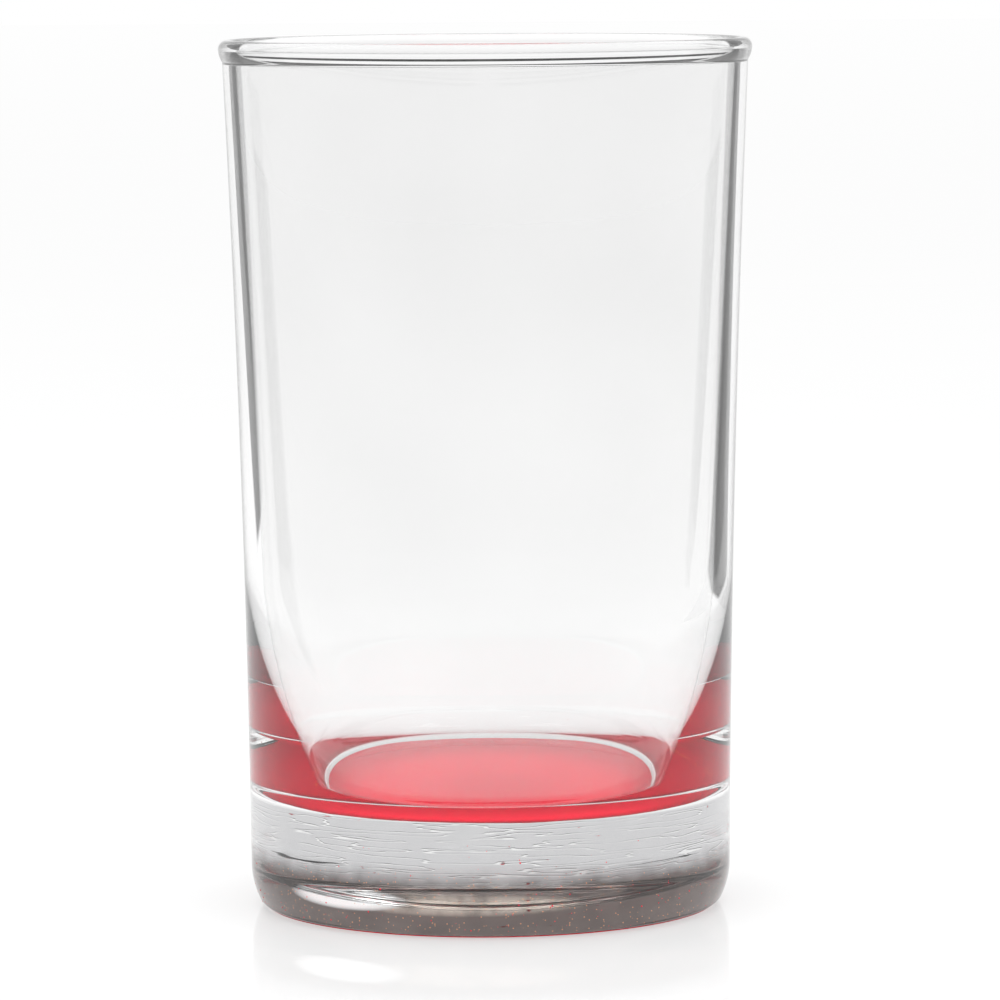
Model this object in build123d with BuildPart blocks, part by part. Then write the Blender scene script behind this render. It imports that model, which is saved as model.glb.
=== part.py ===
from build123d import *
import math
import os

os.makedirs("parts", exist_ok=True)

# Overall sizes in mm, with the glass standing on z = 0 and its axis on Z
height = 98.4
rim_diameter = 60.3
base_diameter = 54.7

# Beaded rim: a roll thicker than the wall, proud of it outside
bead_thickness = 2.0
bead_height = 2.5
bead_overhang = 0.45

# Wall: outer lean where it leaves the heel, thickness under the bead
wall_lean = 0.45
wall_at_rim = 1.4

# Heel: a long sweep under the wall, then a tighter corner into the bearing ring
heel_height = 4.75
heel_sweep_radius = 9.0
heel_corner_radius = 1.45

# Underside: flat bearing ring round a shallow hollow
ring_width = 1.8
hollow_depth = 0.4

# Inside of the base: flat floor, tight corner, then one long sweep up to the wall,
# with the base wall measured where the corner ends
floor_height = 12.1
base_wall = 5.25
corner_radius = 4.8
corner_turn = 73.5
sweep_radius = 90.0
sweep_turn = 14.4

# Colour coat on the underside, and how far round the heel corner it was sprayed
coat_thickness = 0.06
coat_wrap = 20.0

# Worked out from the sizes above
glass_bottom = coat_thickness
heel_centre_z = glass_bottom + heel_corner_radius
sweep_centre_z = glass_bottom + heel_height
sweep_centre_r = base_diameter / 2 - heel_sweep_radius
centre_gap = heel_sweep_radius - heel_corner_radius
centre_rise = sweep_centre_z - heel_centre_z
ring_outer_radius = sweep_centre_r + math.sqrt(centre_gap**2 - centre_rise**2)
ring_inner_radius = ring_outer_radius - ring_width
heel_split = math.degrees(math.asin(centre_rise / centre_gap))
hollow_radius = (ring_inner_radius**2 + hollow_depth**2) / (2 * hollow_depth)
hollow_centre_z = glass_bottom + hollow_depth - hollow_radius
hollow_angle = math.degrees(math.asin(ring_inner_radius / hollow_radius))
corner_end_radius = base_diameter / 2 - base_wall
floor_flat_radius = corner_end_radius - corner_radius * math.sin(math.radians(corner_turn))
rim_radius = rim_diameter / 2
neck_radius = rim_radius - bead_overhang
neck_z = height - bead_height
crown_radius = bead_thickness / 2
crown_z = height - crown_radius
mouth_radius = neck_radius - wall_at_rim

# Clear glass body, turned from one closed outline
with BuildPart() as glass_body:
    with BuildSketch(Plane.XZ):
        with BuildLine():
            hollow = CenterArc((0, hollow_centre_z), hollow_radius, 90, -hollow_angle)
            ring = Line(hollow @ 1, (ring_outer_radius, glass_bottom))
            heel_corner = JernArc(ring @ 1, (1, 0), heel_corner_radius, 90 - heel_split)
            heel_sweep = JernArc(heel_corner @ 1, heel_corner % 1, heel_sweep_radius, heel_split - wall_lean)
            outer_wall = TangentArc(heel_sweep @ 1, (neck_radius, neck_z), tangent=heel_sweep % 1)
            crown = CenterArc((rim_radius - crown_radius, crown_z), crown_radius, 0, 180)
            bead_out = TangentArc(crown @ 0, (neck_radius, neck_z), tangent=(0, -1))
            bead_in = TangentArc(crown @ 1, (mouth_radius, neck_z), tangent=(0, -1))
            axis_floor = Line((0, glass_bottom + hollow_depth), (0, floor_height))
            floor = Line((0, floor_height), (floor_flat_radius, floor_height))
            corner = JernArc(floor @ 1, (1, 0), corner_radius, corner_turn)
            sweep = JernArc(corner @ 1, corner % 1, sweep_radius, sweep_turn)
            inner_wall = TangentArc(sweep @ 1, (mouth_radius, neck_z), tangent=sweep % 1)
        make_face()
    revolve(axis=Axis.Z)
glass_body.part.label = "glass_body"
export_step(glass_body.part, "parts/glass_body.step")

# Red coat: the underside's own outline and the same outline moved out by the coat's thickness
coat_hollow_radius = hollow_radius - coat_thickness
coat_ring_inner_radius = math.sqrt(coat_hollow_radius**2 - hollow_centre_z**2)
coat_hollow_angle = math.degrees(math.asin(coat_ring_inner_radius / coat_hollow_radius))
coat_heel_radius = heel_corner_radius + coat_thickness

with BuildPart() as base_coat:
    with BuildSketch(Plane.XZ):
        with BuildLine():
            hollow_up = CenterArc((0, hollow_centre_z), hollow_radius, 90, -hollow_angle)
            ring_up = Line(hollow_up @ 1, (ring_outer_radius, glass_bottom))
            heel_up = JernArc(ring_up @ 1, (1, 0), heel_corner_radius, coat_wrap)
            hollow_down = CenterArc((0, hollow_centre_z), coat_hollow_radius, 90, -coat_hollow_angle)
            ring_down = Line(hollow_down @ 1, (ring_outer_radius, 0))
            heel_down = JernArc(ring_down @ 1, (1, 0), coat_heel_radius, coat_wrap)
            edge = Line(heel_up @ 1, heel_down @ 1)
            axis_side = Line(hollow_up @ 0, hollow_down @ 0)
        make_face()
    revolve(axis=Axis.Z)
base_coat.part.label = "base_coat"
export_step(base_coat.part, "parts/base_coat.step")
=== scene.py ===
import math

import bpy
from mathutils import Euler, Matrix


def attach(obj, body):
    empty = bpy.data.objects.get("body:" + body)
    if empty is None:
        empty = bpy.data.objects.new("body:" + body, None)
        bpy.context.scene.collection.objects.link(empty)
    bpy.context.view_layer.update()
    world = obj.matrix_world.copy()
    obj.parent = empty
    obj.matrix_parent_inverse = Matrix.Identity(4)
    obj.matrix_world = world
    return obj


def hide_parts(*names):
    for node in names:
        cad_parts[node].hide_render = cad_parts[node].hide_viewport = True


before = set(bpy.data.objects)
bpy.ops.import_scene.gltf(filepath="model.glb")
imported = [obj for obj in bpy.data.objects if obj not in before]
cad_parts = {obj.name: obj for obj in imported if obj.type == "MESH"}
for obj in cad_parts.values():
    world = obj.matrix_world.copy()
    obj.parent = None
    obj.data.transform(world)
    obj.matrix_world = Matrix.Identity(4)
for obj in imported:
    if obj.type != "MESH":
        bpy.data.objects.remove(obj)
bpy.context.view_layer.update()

MM = 0.001

# Sizes of the glass in mm, the same as the part's own
HEIGHT = 98.4
RIM_RADIUS = 30.15
BASE_RADIUS = 27.35
BEAD_THICKNESS = 2.0
BEAD_HEIGHT = 2.5
BEAD_OVERHANG = 0.45
WALL_LEAN = 0.45
WALL_AT_RIM = 1.4
HEEL_HEIGHT = 4.75
HEEL_SWEEP = 9.0
HEEL_CORNER = 1.45
RING_WIDTH = 1.8
HOLLOW_DEPTH = 0.4
FLOOR_HEIGHT = 12.1
BASE_WALL = 5.25
CORNER_RADIUS = 4.8
CORNER_TURN = 73.5
SWEEP_RADIUS = 90.0
SWEEP_TURN = 14.4
COAT_THICKNESS = 0.06
COAT_WRAP = 20.0

# Worked out: the angle where the heel's two arcs meet, and the bearing ring's outer and inner radius
HEEL_GAP = HEEL_SWEEP - HEEL_CORNER
HEEL_RISE = HEEL_HEIGHT - HEEL_CORNER
HEEL_SPLIT = math.degrees(math.asin(HEEL_RISE / HEEL_GAP))
RING_OUTER = BASE_RADIUS - HEEL_SWEEP + math.sqrt(HEEL_GAP ** 2 - HEEL_RISE ** 2)
RING_INNER = RING_OUTER - RING_WIDTH

# Where the bead begins outside and ends inside
NECK = (RIM_RADIUS - BEAD_OVERHANG, HEIGHT - BEAD_HEIGHT)
MOUTH = (NECK[0] - WALL_AT_RIM, NECK[1])

# The lacquer wets the glass: its upper face reaches this far into the glass, and no air shows between them
COAT_KEY = 0.03

# Chill wrinkles stand on the outside of the base between two heights, where they ease in and out
WRINKLE_LOW, WRINKLE_HIGH = 6.0, 14.5
WRINKLE_EASE_IN, WRINKLE_EASE_OUT = 2.5, 2.0
WRINKLE_DEPTH = 0.008

# A grey tint lies on the glass outside a radius and below a height. It is painted shade for the shaded table
# seen through the base. Lower down it turns brown, partly a brown coating and partly painted shade for dark
# surroundings seen through the heel
TINT_RADIUS = 24.5
TINT_TOP, TINT_FULL = 13.4, 12.9
BROWN_TOP, BROWN_FULL = 9.0, 6.2

# Droplets lie on the heel and base between two heights, and would thin out to none at a third
DROPLETS_LOW, DROPLETS_HIGH, DROPLETS_END = 0.3, 13.5, 14.0


def linear(code):
    """An sRGB hex colour as linear red, green, blue and alpha."""
    levels = [int(code[i:i + 2], 16) / 255 for i in (1, 3, 5)]
    return tuple(v / 12.92 if v <= 0.04045 else ((v + 0.055) / 1.055) ** 2.4 for v in levels) + (1.0,)


def add(tree, kind, feeds=None, **settings):
    """Adds a node with its settings, and feeds it from sockets, from nodes' first outputs or from values."""
    made = tree.nodes.new(kind)
    for name, value in settings.items():
        setattr(made, name, value)
    for socket, source in (feeds or {}).items():
        if isinstance(source, bpy.types.Node):
            source = source.outputs[0]
        if isinstance(source, bpy.types.NodeSocket):
            tree.links.new(source, made.inputs[socket])
        else:
            made.inputs[socket].default_value = source
    return made


# Outlines: lists of (radius, height) in mm, carried on arc by arc
def turn_arc(outline, heading, radius, turn, steps):
    """Carries an outline on round an arc that turns left, and gives the heading it ends with."""
    start = math.radians(heading)
    centre_r = outline[-1][0] - radius * math.sin(start)
    centre_z = outline[-1][1] + radius * math.cos(start)
    for step in range(1, steps + 1):
        angle = start + math.radians(turn) * step / steps
        outline.append((centre_r + radius * math.sin(angle), centre_z - radius * math.cos(angle)))
    return heading + turn


def easy_arc(outline, heading, end, shares):
    """Carries an outline on to end by one arc that leaves with its heading, with points at shares of it."""
    r, z = outline[-1]
    along = (math.cos(math.radians(heading)), math.sin(math.radians(heading)))
    reach = (end[0] - r, end[1] - z)
    chord = math.hypot(*reach)
    swing = math.asin((along[0] * reach[1] - along[1] * reach[0]) / chord)
    for share in shares:
        part = chord * math.sin(swing * share) / math.sin(swing)
        lean = math.atan2(along[1], along[0]) + swing * share
        outline.append((r + part * math.cos(lean), z + part * math.sin(lean)))


def even_shares(start, end, steps):
    """Shares of an arc in even steps from start to end, without start itself."""
    return [start + (end - start) * i / steps for i in range(1, steps + 1)]


def underside(drop, wrap):
    """The underside from the axis out to wrap degrees round the heel corner, moved down by drop."""
    bend = (RING_INNER ** 2 + HOLLOW_DEPTH ** 2) / (2 * HOLLOW_DEPTH)
    centre_z = COAT_THICKNESS + HOLLOW_DEPTH - bend
    ring_z = COAT_THICKNESS - drop
    edge = math.sqrt((bend - drop) ** 2 - (ring_z - centre_z) ** 2)
    reach = math.asin(edge / (bend - drop))
    outline = []
    for share in [0.0] + even_shares(0, 1, steps=8):
        angle = reach * share
        outline.append(((bend - drop) * math.sin(angle), centre_z + (bend - drop) * math.cos(angle)))
    outline.append(((edge + RING_OUTER) / 2, ring_z))
    outline.append((RING_OUTER, ring_z))
    turn_arc(outline, 0, HEEL_CORNER + drop, wrap, steps=round(wrap / 4))
    return outline


def outer_side():
    """The outside from the axis out and up to the neck under the bead, finest where the wrinkles are."""
    outline = underside(0, 90 - HEEL_SPLIT)
    heading = turn_arc(outline, 90 - HEEL_SPLIT, HEEL_SWEEP, HEEL_SPLIT - WALL_LEAN, steps=26)
    fine = even_shares(0, 0.105, steps=62)
    coarse = even_shares(0.105, 0.985, steps=22)
    easy_arc(outline, heading, NECK, fine + coarse + [0.994, 0.998, 1.0])
    return outline


def inner_side():
    """The inside from the middle of the floor up to the mouth under the bead."""
    corner_end = BASE_RADIUS - BASE_WALL
    flat = corner_end - CORNER_RADIUS * math.sin(math.radians(CORNER_TURN))
    sixth = flat / 6
    outline = [(sixth * i, FLOOR_HEIGHT) for i in (0, 1, 2, 3, 4, 5, 5.6, 5.9, 6)]
    heading = turn_arc(outline, 0, CORNER_RADIUS, CORNER_TURN, steps=26)
    heading = turn_arc(outline, heading, SWEEP_RADIUS, SWEEP_TURN, steps=22)
    easy_arc(outline, heading, MOUTH, even_shares(0, 0.97, steps=16) + [0.99, 0.997, 1.0])
    return outline


def bead():
    """The bead from the neck outside, over the crown and down to the mouth inside, without its two ends."""
    crown = BEAD_THICKNESS / 2
    shares = even_shares(0, 1, steps=8)[:-1]
    outer = [(RIM_RADIUS, HEIGHT - crown)]
    easy_arc(outer, -90, NECK, shares)
    top = [(RIM_RADIUS, HEIGHT - crown)]
    turn_arc(top, 90, crown, 180, steps=30)
    inner = [top[-1]]
    easy_arc(inner, -90, MOUTH, shares)
    return outer[:0:-1] + top + inner[1:]


def wrinkle_share(index, point, outer_count):
    """A point's share of the wrinkle depth: none off the outside of the base, easing in and out on it."""
    height = point[1]
    if index >= outer_count or height <= WRINKLE_LOW or height >= WRINKLE_HIGH:
        return 0.0
    return min(1.0, (height - WRINKLE_LOW) / WRINKLE_EASE_IN, (WRINKLE_HIGH - height) / WRINKLE_EASE_OUT)


# Geometry Nodes: a piece turned from its outline, and spray droplets on a turned strip
def outline_tree(name, sizes):
    """A tree for a piece made from an outline, named sizes and a material, and the sockets that give them."""
    tree = bpy.data.node_groups.new(name, "GeometryNodeTree")
    face = tree.interface
    face.new_socket("Outline", in_out="INPUT", socket_type="NodeSocketGeometry")
    for label, kind, value in sizes:
        face.new_socket(label, in_out="INPUT", socket_type=kind).default_value = value
    face.new_socket("Material", in_out="INPUT", socket_type="NodeSocketMaterial")
    face.new_socket("Piece", in_out="OUTPUT", socket_type="NodeSocketGeometry")
    return tree, add(tree, "NodeGroupInput").outputs


def turning_tree():
    """A lathe: each outline point becomes a ring, and its share attribute lifts it in long flat ripples."""
    tree, given = outline_tree("turned_piece", (
        ("Segments", "NodeSocketInt", 384),
        ("Wrinkle Depth", "NodeSocketFloat", 0.0),
        ("Wrinkle Length", "NodeSocketFloat", 8 * MM),
        ("Wrinkle Height", "NodeSocketFloat", 0.9 * MM),
        ("Seed", "NodeSocketFloat", 3.0),
    ))
    count = add(tree, "GeometryNodeAttributeDomainSize", {"Geometry": given["Outline"]}, component="MESH")
    across = add(tree, "FunctionNodeIntegerMath", {0: given["Segments"], 1: 1}, operation="ADD")
    grid = add(tree, "GeometryNodeMeshGrid", {"Vertices X": count, "Vertices Y": across})
    index = add(tree, "GeometryNodeInputIndex")
    ring = add(tree, "FunctionNodeIntegerMath", {0: index, 1: across}, operation="DIVIDE_FLOOR")
    step = add(tree, "FunctionNodeIntegerMath", {0: index, 1: across}, operation="MODULO")
    place = add(tree, "GeometryNodeInputPosition")
    point = add(tree, "GeometryNodeSampleIndex",
                {"Geometry": given["Outline"], "Value": place, "Index": ring},
                data_type="FLOAT_VECTOR", domain="POINT")
    share = add(tree, "GeometryNodeInputNamedAttribute", {"Name": "share"}, data_type="FLOAT")
    share = add(tree, "GeometryNodeSampleIndex",
                {"Geometry": given["Outline"], "Value": share, "Index": ring},
                data_type="FLOAT", domain="POINT")
    turn = add(tree, "ShaderNodeMath", {0: step, 1: given["Segments"]}, operation="DIVIDE")
    angle = add(tree, "ShaderNodeMath", {0: turn, 1: 2 * math.pi}, operation="MULTIPLY")
    spot = add(tree, "ShaderNodeSeparateXYZ", {0: point}).outputs
    cosine = add(tree, "ShaderNodeMath", {0: angle}, operation="COSINE")
    sine = add(tree, "ShaderNodeMath", {0: angle}, operation="SINE")
    x = add(tree, "ShaderNodeMath", {0: spot["X"], 1: cosine}, operation="MULTIPLY")
    y = add(tree, "ShaderNodeMath", {0: spot["X"], 1: sine}, operation="MULTIPLY")
    ringed = add(tree, "ShaderNodeCombineXYZ", {"X": x, "Y": y, "Z": spot["Z"]})
    kept = add(tree, "GeometryNodeStoreNamedAttribute", {"Geometry": grid, "Name": "share", "Value": share},
               data_type="FLOAT", domain="POINT")
    turned = add(tree, "GeometryNodeSetPosition", {"Geometry": kept, "Position": ringed})
    closed = add(tree, "GeometryNodeMergeByDistance", {"Geometry": turned, "Distance": 0.002 * MM})
    closed = add(tree, "GeometryNodeFlipFaces", {"Mesh": closed})

    length = given["Wrinkle Length"]
    flat = add(tree, "ShaderNodeCombineXYZ", {"X": length, "Y": length, "Z": given["Wrinkle Height"]})
    grain = add(tree, "ShaderNodeVectorMath", {0: place, 1: flat}, operation="DIVIDE")
    noise = add(tree, "ShaderNodeTexNoise",
                {"Vector": grain, "W": given["Seed"], "Scale": 1.0, "Detail": 2.0, "Roughness": 0.55},
                noise_dimensions="4D")
    lift = add(tree, "ShaderNodeMapRange",
               {"Value": noise, "From Min": 0.25, "From Max": 0.75, "To Min": -1.0, "To Max": 1.0})
    amount = add(tree, "GeometryNodeInputNamedAttribute", {"Name": "share"}, data_type="FLOAT")
    depth = add(tree, "ShaderNodeMath", {0: amount, 1: given["Wrinkle Depth"]}, operation="MULTIPLY")
    rise = add(tree, "ShaderNodeMath", {0: lift, 1: depth}, operation="MULTIPLY")
    normal = add(tree, "GeometryNodeInputNormal")
    shift = add(tree, "ShaderNodeVectorMath", {0: normal, "Scale": rise}, operation="SCALE")
    rippled = add(tree, "GeometryNodeSetPosition", {"Geometry": closed, "Offset": shift})
    smooth = add(tree, "GeometryNodeSetShadeSmooth", {"Geometry": rippled})
    real = add(tree, "GeometryNodeRealizeInstances", {"Geometry": smooth})
    clad = add(tree, "GeometryNodeSetMaterial", {"Geometry": real, "Material": given["Material"]})
    add(tree, "NodeGroupOutput", {"Piece": clad})
    return tree


def spray_tree(lathe):
    """Droplets of overspray, flattened on a turned strip and thickest where its share is highest."""
    tree, given = outline_tree("spray_droplets", (
        ("Segments", "NodeSocketInt", 96),
        ("Droplets Each Square Metre", "NodeSocketFloat", 350000.0),
        ("Smallest", "NodeSocketFloat", 0.04 * MM),
        ("Largest", "NodeSocketFloat", 0.12 * MM),
        ("Seed", "NodeSocketInt", 7),
    ))
    strip = add(tree, "GeometryNodeGroup", {"Outline": given["Outline"], "Segments": given["Segments"]},
                node_tree=lathe)
    thick = add(tree, "GeometryNodeInputNamedAttribute", {"Name": "share"}, data_type="FLOAT")
    most = given["Droplets Each Square Metre"]
    density = add(tree, "ShaderNodeMath", {0: thick, 1: most}, operation="MULTIPLY")
    spread = add(tree, "GeometryNodeDistributePointsOnFaces",
                 {"Mesh": strip, "Density": density, "Seed": given["Seed"]}, distribute_method="RANDOM")
    drop = add(tree, "GeometryNodeMeshIcoSphere", {"Radius": 1.0, "Subdivisions": 1})
    chance = add(tree, "FunctionNodeRandomValue", {"Min": 0.0, "Max": 1.0, "Seed": given["Seed"]},
                 data_type="FLOAT")
    chance = chance.outputs["Value"]
    small = add(tree, "ShaderNodeMath", {0: chance, 1: 3.0}, operation="POWER")
    size = add(tree, "ShaderNodeMapRange",
               {"Value": small, "To Min": given["Smallest"], "To Max": given["Largest"]})
    half = add(tree, "ShaderNodeMath", {0: size, 1: 0.5}, operation="MULTIPLY")
    scale = add(tree, "ShaderNodeCombineXYZ", {"X": size, "Y": size, "Z": half})
    placed = add(tree, "GeometryNodeInstanceOnPoints",
                 {"Points": spread, "Instance": drop, "Rotation": spread.outputs["Rotation"], "Scale": scale})
    real = add(tree, "GeometryNodeRealizeInstances", {"Geometry": placed})
    smooth = add(tree, "GeometryNodeSetShadeSmooth", {"Geometry": real})
    clad = add(tree, "GeometryNodeSetMaterial", {"Geometry": smooth, "Material": given["Material"]})
    add(tree, "NodeGroupOutput", {"Piece": clad})
    return tree


def made_by(tree, name, outline, shares, sizes):
    """Runs a tree on an outline with the sizes given, and leaves its result as a plain mesh piece."""
    points = [(r * MM, 0, z * MM) for r, z in outline]
    mesh = bpy.data.meshes.new(name + "_outline")
    mesh.from_pydata(points, [(i, i + 1) for i in range(len(points) - 1)], [])
    mesh.attributes.new("share", "FLOAT", "POINT").data.foreach_set("value", shares)
    piece = bpy.data.objects.new(name, mesh)
    bpy.context.scene.collection.objects.link(piece)
    nodes = piece.modifiers.new("shape", "NODES")
    nodes.node_group = tree
    for socket in tree.interface.items_tree:
        if socket.in_out == "INPUT" and socket.name in sizes:
            nodes[socket.identifier] = sizes[socket.name]
    graph = bpy.context.evaluated_depsgraph_get()
    result = bpy.data.meshes.new_from_object(piece.evaluated_get(graph), depsgraph=graph)
    result.name = name
    piece.modifiers.remove(nodes)
    piece.data = result
    return piece


# What the materials share
def new_material(name):
    """A material made of nodes, and its tree."""
    material = bpy.data.materials.new(name)
    material.use_nodes = True
    return material, material.node_tree


def layered(tree, colour, *layers):
    """A colour with others laid over it in turn, each by its share."""
    for share, over in layers:
        mixed = add(tree, "ShaderNodeMix", data_type="RGBA", feeds={"Factor": share, "A": colour, "B": over})
        colour = mixed.outputs["Result"]
    return colour


def zone(tree, *limits, share=1.0):
    """A share kept to a zone: each limit eases it from none where a value is start to all where it is end."""
    for value, start, end in limits:
        eased = add(tree, "ShaderNodeMapRange", {"Value": value, "From Min": start, "From Max": end},
                    interpolation_type="SMOOTHSTEP")
        share = add(tree, "ShaderNodeMath", {0: eased, 1: share}, operation="MULTIPLY")
    return share


def oval(tree, turn, height, middle, reach, level, half, share=1.0):
    """A share kept to an oval on the side of the glass, placed in degrees and mm, with a soft edge."""
    along = add(tree, "ShaderNodeMath", {0: turn, 1: math.radians(-middle)}, operation="ADD")
    along = add(tree, "ShaderNodeMath", {0: along, 1: math.radians(reach)}, operation="DIVIDE")
    up = add(tree, "ShaderNodeMath", {0: height, 1: -level * MM}, operation="ADD")
    up = add(tree, "ShaderNodeMath", {0: up, 1: half * MM}, operation="DIVIDE")
    along = add(tree, "ShaderNodeMath", {0: along, 1: along}, operation="MULTIPLY")
    away = add(tree, "ShaderNodeMath", {0: up, 1: up, 2: along}, operation="MULTIPLY_ADD")
    return zone(tree, (away, 1.0, 0.2), share=share)


def flecks(tree, where, spacing, size, chance):
    """A share that is 1 on flecks: their spacing in mm, their size in spacings, and how many of them show."""
    cells = add(tree, "ShaderNodeTexVoronoi", {"Vector": where, "Scale": 1 / (spacing * MM)}, feature="F1")
    near = add(tree, "ShaderNodeMath", {0: cells.outputs["Distance"], 1: size}, operation="LESS_THAN")
    lot = add(tree, "ShaderNodeSeparateColor", {0: cells.outputs["Color"]})
    shown = add(tree, "ShaderNodeMath", {0: lot, 1: chance}, operation="LESS_THAN")
    return add(tree, "ShaderNodeMath", {0: near, 1: shown}, operation="MULTIPLY")


# Materials
def overspray(tree, where, spot):
    """The colour on the outside of the base. A pale grey tint is painted shade for the shaded table seen
    through it. Fine chill lines are painted as a dark line of shade over a pale line of highlight. Low down
    it is brown and flecked with copper, partly a brown coating and partly painted shade for dark
    surroundings. At the front a painted highlight is a pale stripe and a white spot."""
    height = spot["Z"]
    patch = add(tree, "ShaderNodeTexNoise", {"Vector": where, "Scale": 1 / (3 * MM), "Detail": 4.0})
    # Painted shade: a pale grey tint that darkens the table seen through the base band
    band_tint = layered(tree, linear("#9A9A9C"), (patch, linear("#AAAAAC")))

    some = add(tree, "ShaderNodeTexNoise", {"Vector": where, "Scale": 1 / (9 * MM), "Detail": 2.0})
    some = zone(tree, (some, 0.34, 0.50))
    stretch = (1 / (11 * MM), 1 / (11 * MM), 1 / (0.6 * MM))
    long = add(tree, "ShaderNodeVectorMath", {0: where, 1: stretch}, operation="MULTIPLY")
    # A chill line is painted as a thin dark line of painted shade with a pale line of painted highlight just
    # below it
    for lift, code in ((0.0, "#3A3A3C"), (0.14, "#D8D8D8")):
        moved = add(tree, "ShaderNodeVectorMath", {0: long, 1: (0, 0, lift)}, operation="ADD")
        chill_line_noise = add(tree, "ShaderNodeTexNoise",
                    {"Vector": moved, "Scale": 1.0, "Detail": 1.5, "Roughness": 0.5})
        middle = add(tree, "ShaderNodeMath", {0: chill_line_noise, 1: -0.5}, operation="ADD")
        middle = add(tree, "ShaderNodeMath", {0: middle}, operation="ABSOLUTE")
        band_tint = layered(tree, band_tint, (zone(tree, (middle, 0.020, 0.005), share=some), linear(code)))

    # Brown low down: partly a brown coating on the heel and partly painted shade for the dark surroundings
    # seen through it
    brown = layered(tree, linear("#140F0E"), (patch, linear("#362B28")))
    ragged = add(tree, "ShaderNodeMath", {0: patch, 1: 1.2 * MM, 2: height}, operation="MULTIPLY_ADD")
    deep = zone(tree, (ragged, BROWN_TOP * MM, BROWN_FULL * MM))
    minus_y = add(tree, "ShaderNodeMath", {0: spot["Y"], 1: -1.0}, operation="MULTIPLY")
    turn = add(tree, "ShaderNodeMath", {0: spot["X"], 1: minus_y}, operation="ARCTAN2")
    # Painted highlight: a pale stripe broken up by noise, and a white spot at the front that leaves the glass
    # clear of the painted shade
    stripe_breakup = zone(tree, (patch, 0.3, 0.62))
    painted_highlight_stripe = oval(tree, turn, height, middle=-10, reach=36, level=3.9, half=1.4, share=stripe_breakup)
    highlight_gap = oval(tree, turn, height, middle=-37, reach=18, level=4.0, half=1.4)
    copper = flecks(tree, where, spacing=0.27, size=0.25, chance=0.14)
    copper = add(tree, "ShaderNodeMath", {0: copper, 1: deep}, operation="MULTIPLY")
    return layered(tree, band_tint, (deep, brown), (painted_highlight_stripe, linear("#7A6A5E")), (highlight_gap, linear("#FFFFFF")),
                   (copper, linear("#D0703C")))


def clear_soda_lime_glass():
    """Pressed soda-lime glass, fire polished: clear and bright. Painted shade darkens its edges where they
    are seen at a low angle, most of all at the bead. It has a slow waviness, and a tint on the outside of the
    base that holds painted shade, a brown coating and painted highlights."""
    material, tree = new_material("soda_lime_glass_fire_polished")
    glass = tree.nodes["Principled BSDF"].inputs
    glass["IOR"].default_value = 1.52
    glass["Transmission Weight"].default_value = 1.0
    where = add(tree, "ShaderNodeTexCoord").outputs["Object"]
    spot = add(tree, "ShaderNodeSeparateXYZ", {0: where}).outputs
    slow = add(tree, "ShaderNodeTexNoise", {"Vector": where, "Scale": 1 / (22 * MM), "Detail": 1.0})
    graze = add(tree, "ShaderNodeLayerWeight", {"Blend": 0.5}).outputs["Facing"]
    # Painted shade: the colour darkens along edges seen at a low angle, and more at the bead
    edge = zone(tree, (graze, 0.86, 0.97))
    neck_z = NECK[1] * MM
    roll = zone(tree, (spot["Z"], neck_z - 0.3 * MM, neck_z + 0.5 * MM), (graze, 0.62, 0.92))
    clear = layered(tree, linear("#FCFCFC"), (slow, linear("#F4F4F4")), (edge, linear("#3C3C3C")),
                    (roll, linear("#2E2E2E")))

    flat = add(tree, "ShaderNodeVectorMath", {0: where, 1: (1, 1, 0)}, operation="MULTIPLY")
    out = add(tree, "ShaderNodeVectorMath", {0: flat}, operation="LENGTH").outputs["Value"]
    outside = add(tree, "ShaderNodeMath", {0: out, 1: TINT_RADIUS * MM}, operation="GREATER_THAN")
    back = add(tree, "ShaderNodeNewGeometry").outputs["Backfacing"]
    front = add(tree, "ShaderNodeMath", {0: 1.0, 1: back}, operation="SUBTRACT")
    outside = add(tree, "ShaderNodeMath", {0: outside, 1: front}, operation="MULTIPLY")
    # Where the base tint lies, with its painted shade and painted highlights: outside the radius, below the
    # height, on the outer face only
    tint_zone = zone(tree, (spot["Z"], TINT_TOP * MM, TINT_FULL * MM), share=outside)
    colour = layered(tree, clear, (tint_zone, overspray(tree, where, spot)))
    tree.links.new(colour, glass["Base Color"])

    matt = add(tree, "ShaderNodeMath", {0: tint_zone, 1: 0.03}, operation="MULTIPLY")
    polish = add(tree, "ShaderNodeMath", {0: slow, 1: 0.004, 2: matt}, operation="MULTIPLY_ADD")
    tree.links.new(polish.outputs[0], glass["Roughness"])
    wave = add(tree, "ShaderNodeBump", {"Height": slow, "Strength": 0.3, "Distance": 0.05 * MM})
    tree.links.new(wave.outputs[0], glass["Normal"])
    return material


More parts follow.
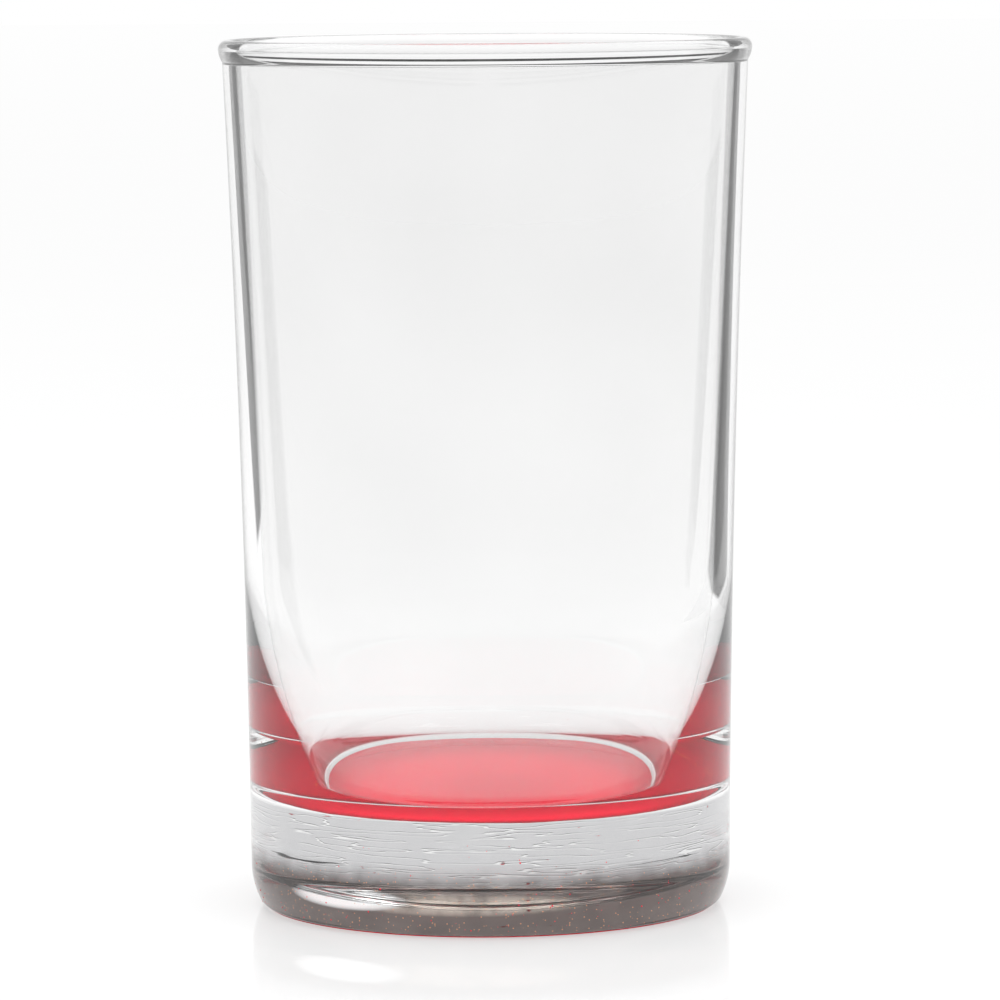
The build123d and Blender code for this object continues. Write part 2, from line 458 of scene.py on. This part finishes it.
def red_spray_lacquer():
    """Red lacquer sprayed on in a thin coat: bright red where it is looked into, with painted shade that
    deepens the red towards grazing views. It is like a mirror at a low angle through the glass that it wets,
    with fine copper flakes that catch the light."""
    material, tree = new_material("red_spray_lacquer")
    tree.nodes.remove(tree.nodes["Principled BSDF"])
    where = add(tree, "ShaderNodeTexCoord").outputs["Object"]
    cloud = add(tree, "ShaderNodeTexNoise", {"Vector": where, "Scale": 1 / (7 * MM), "Detail": 4.0})
    graze = add(tree, "ShaderNodeLayerWeight", {"Blend": 0.5}).outputs["Facing"]
    # Painted shade: the red deepens towards grazing views
    painted_slant_shade = zone(tree, (graze, 0.12, 0.55))
    flake = flecks(tree, where, spacing=0.55, size=0.2, chance=0.3)
    colour = layered(tree, linear("#FF1A38"), (cloud, linear("#FF2846")), (painted_slant_shade, linear("#BC142C")),
                     (flake, linear("#FF8A50")))
    pigment = add(tree, "ShaderNodeBsdfPrincipled",
                  {"Base Color": colour, "Roughness": 0.6, "Specular IOR Level": 0.0})
    skin = add(tree, "ShaderNodeBsdfGlossy", {"Color": linear("#FFFFFF"), "Roughness": 0.05})
    # Light comes to the lacquer, of about 1.47, out of the glass, of 1.52
    low = add(tree, "ShaderNodeFresnel", {"IOR": 0.967})
    plain = add(tree, "ShaderNodeMath", {0: 1.0, 1: flake}, operation="SUBTRACT")
    share = add(tree, "ShaderNodeMath", {0: low, 1: plain}, operation="MULTIPLY")
    mixed = add(tree, "ShaderNodeMixShader", {0: share, 1: pigment, 2: skin})
    tree.links.new(mixed.outputs[0], tree.nodes["Material Output"].inputs["Surface"])
    return material


def white_table():
    """White acrylic table: pale and glossy, mirroring the foot of the glass, and lifted part of the way to
    white where the camera or the glass looks at it."""
    material, tree = new_material("white_acrylic_table")
    top = tree.nodes["Principled BSDF"]
    top.inputs["Roughness"].default_value = 0.01
    top.inputs["IOR"].default_value = 1.49
    where = add(tree, "ShaderNodeTexCoord").outputs["Object"]
    cloud = add(tree, "ShaderNodeTexNoise", {"Vector": where, "Scale": 1 / (60 * MM), "Detail": 2.0})
    colour = layered(tree, linear("#E4E4E4"), (cloud, linear("#E8E8E8")))
    tree.links.new(colour, top.inputs["Base Color"])
    path = add(tree, "ShaderNodeLightPath").outputs
    lift = 0.0
    for kind, part in (("Is Camera Ray", 0.5), ("Is Glossy Ray", 0.3), ("Is Transmission Ray", 0.2)):
        lift = add(tree, "ShaderNodeMath", {0: path[kind], 1: part, 2: lift}, operation="MULTIPLY_ADD")
    white = add(tree, "ShaderNodeEmission", {"Color": linear("#FFFFFF"), "Strength": 1.0})
    mixed = add(tree, "ShaderNodeMixShader", {0: lift, 1: top, 2: white})
    tree.links.new(mixed.outputs[0], tree.nodes["Material Output"].inputs["Surface"])
    return material


def matt_flag_card(level, places, turns):
    """Matt card that the glass shows as a dark line: white at its edges, easing to level inside. A place is a
    direction with the distances along it where the dark begins and is full. A turn is the same in degrees."""
    material, tree = new_material("matt_flag_card")
    tree.nodes.remove(tree.nodes["Principled BSDF"])
    where = add(tree, "ShaderNodeTexCoord").outputs["Object"]
    spot = add(tree, "ShaderNodeSeparateXYZ", {0: where}).outputs
    angle = add(tree, "ShaderNodeMath", {0: spot["X"], 1: spot["Y"]}, operation="ARCTAN2")
    limits = [(angle, math.radians(start), math.radians(end)) for start, end in turns]
    for direction, start, end in places:
        along = add(tree, "ShaderNodeVectorMath", {0: where, 1: direction}, operation="DOT_PRODUCT")
        limits.append((along.outputs["Value"], start, end))
    share = zone(tree, *limits)
    strength = add(tree, "ShaderNodeMath", {0: share, 1: level - 1, 2: 1.0}, operation="MULTIPLY_ADD")
    glow = add(tree, "ShaderNodeEmission", {"Color": linear("#FFFFFF"), "Strength": strength})
    tree.links.new(glow.outputs[0], tree.nodes["Material Output"].inputs["Surface"])
    return material


# The two pieces of the glass, and the overspray droplets on its heel
lathe = turning_tree()
outside = outer_side()
glass_outline = outside + bead() + inner_side()[::-1]
glass_shares = [wrinkle_share(i, p, len(outside)) for i, p in enumerate(glass_outline)]
glass = made_by(lathe, "clear_glass_body", glass_outline, glass_shares,
                {"Wrinkle Depth": WRINKLE_DEPTH * MM, "Material": clear_soda_lime_glass()})
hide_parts("glass_body")
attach(glass, "root")

lacquer = red_spray_lacquer()
coat_outline = underside(COAT_THICKNESS, COAT_WRAP) + underside(-COAT_KEY, COAT_WRAP)[::-1]
coat = made_by(lathe, "red_base_coat", coat_outline, [0.0] * len(coat_outline), {"Material": lacquer})
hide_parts("base_coat")
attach(coat, "root")

strip = [p for p in outside if p[0] > RING_OUTER and DROPLETS_LOW < p[1] < DROPLETS_HIGH]
strip_shares = [(1 - p[1] / DROPLETS_END) ** 2 for p in strip]
spray = made_by(spray_tree(lathe), "overspray_droplets", strip, strip_shares, {"Material": lacquer})
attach(spray, "root")

# Table, cards and lamp
scene = bpy.context.scene


def stage_mesh(name, points, faces, material):
    """A piece of the set, which is no part of the glass."""
    mesh = bpy.data.meshes.new(name)
    mesh.from_pydata(points, [], faces)
    mesh.materials.append(material)
    made = bpy.data.objects.new(name, mesh)
    scene.collection.objects.link(made)
    return made


def flag(name, points, faces, level, places, turns=()):
    """A card that only the rays that leave the glass meet, so that it lights and shades nothing else."""
    made = stage_mesh(name, points, faces, matt_flag_card(level, places, turns))
    made.visible_camera = False
    made.visible_diffuse = False
    made.visible_glossy = False
    made.visible_shadow = False


def upright_card(name, start, end, radius, low, high, edge, level, fade=10):
    """A card on an arc round the glass, from start to end degrees to the right of straight behind."""
    steps = round((end - start) / 5)
    points = []
    for step in range(steps + 1):
        angle = math.radians(start + (end - start) * step / steps)
        points += [(radius * math.sin(angle), radius * math.cos(angle), z) for z in (low, high)]
    faces = [(2 * i, 2 * i + 2, 2 * i + 3, 2 * i + 1) for i in range(steps)]
    up = (0, 0, 1)
    places = [(up, low, low + edge), (up, high, high - edge)]
    flag(name, points, faces, level, places, [(start, start + fade), (end, end - fade)])


def table_sheet(name, side, lean, offset, outer, near, inner=0.1, far=3.0, soft=0.015, level=0.02):
    """A sheet lying on the table behind the glass, on its left or right. It is dark beyond near, outside
    inner and between two slanting lines: one that lean and offset give, and one that outer gives."""
    fade = 4 * soft
    points = [(side * x, y, 0.0) for y in (near, far) for x in (lean * y + offset, outer * y + fade)]
    flag(name, points, [(0, 1, 3, 2)], level, [
        ((side, -lean, 0), offset, offset + soft),
        ((side, -outer, 0), fade, 0.0),
        ((side, 0, 0), inner, inner + soft),
        ((0, 1, 0), near, near + soft),
    ])


table_half = 6.0
table_z = -0.05 * MM
corners = [(x * table_half, y * table_half, table_z) for x, y in ((-1, -1), (1, -1), (1, 1), (-1, 1))]
stage_mesh("table", corners, [(0, 1, 2, 3)], white_table())

# The sheets give the dark lines along the wall, and the cards the dark lines round the rim
table_sheet("left_sheet", side=-1, lean=0.385, offset=0.085, outer=0.9, near=0.215)
table_sheet("right_sheet", side=1, lean=0.499, offset=-0.0147, outer=0.95, near=0.12)
upright_card("rim_flag", -180, 180, radius=0.302, low=0.143, high=0.171, edge=0.004, level=0.04)
upright_card("high_rim_flag", -180, 180, radius=0.302, low=0.203, high=0.25, edge=0.005, level=0.06)
upright_card("left_rim_flag", -85, -20, radius=0.3, low=0.108, high=0.255, edge=0.005, level=0.04)
upright_card("right_rim_flag", 20, 85, radius=0.3, low=0.108, high=0.255, edge=0.005, level=0.04)

world = bpy.data.worlds.new("white_studio")
world.use_nodes = True
world.node_tree.nodes["Background"].inputs["Color"].default_value = linear("#FFFFFF")
world.node_tree.nodes["Background"].inputs["Strength"].default_value = 1.0
scene.world = world

softbox_y, softbox_z = -0.15, 1.1
softbox = bpy.data.lights.new("overhead_softbox", "AREA")
softbox.shape = "SQUARE"
softbox.size = 0.9
softbox.energy = 9.0
softbox_object = bpy.data.objects.new("overhead_softbox", softbox)
softbox_object.location = (0, softbox_y, softbox_z)
softbox_object.rotation_euler = (math.atan2(softbox_y, softbox_z), 0, 0)
softbox_object.visible_camera = False
softbox_object.visible_glossy = False
scene.collection.objects.link(softbox_object)

# Camera: its height, distance, tilt and roll are those that fit the outline in the photograph
camera_place = (0, -0.663, 0.1113)
camera_tilt = math.radians(5.625)
camera_roll = math.radians(-0.40)
camera = bpy.data.cameras.new("camera")
camera.sensor_width = 36
camera.lens = 210.8
camera.shift_x = 0.0118
camera.clip_start = 0.01
camera_object = bpy.data.objects.new("camera", camera)
camera_object.matrix_world = (
    Matrix.Translation(camera_place)
    @ Euler((math.radians(90) - camera_tilt, 0, 0)).to_matrix().to_4x4()
    @ Matrix.Rotation(camera_roll, 4, "Z")
)
scene.collection.objects.link(camera_object)
scene.camera = camera_object

# Clear glass needs long light paths, and its reflections stay sharp
scene.cycles.max_bounces = 9
scene.cycles.glossy_bounces = 8
scene.cycles.transmission_bounces = 9
scene.cycles.diffuse_bounces = 6
scene.cycles.blur_glossy = 0.0
scene.view_settings.view_transform = "Standard"
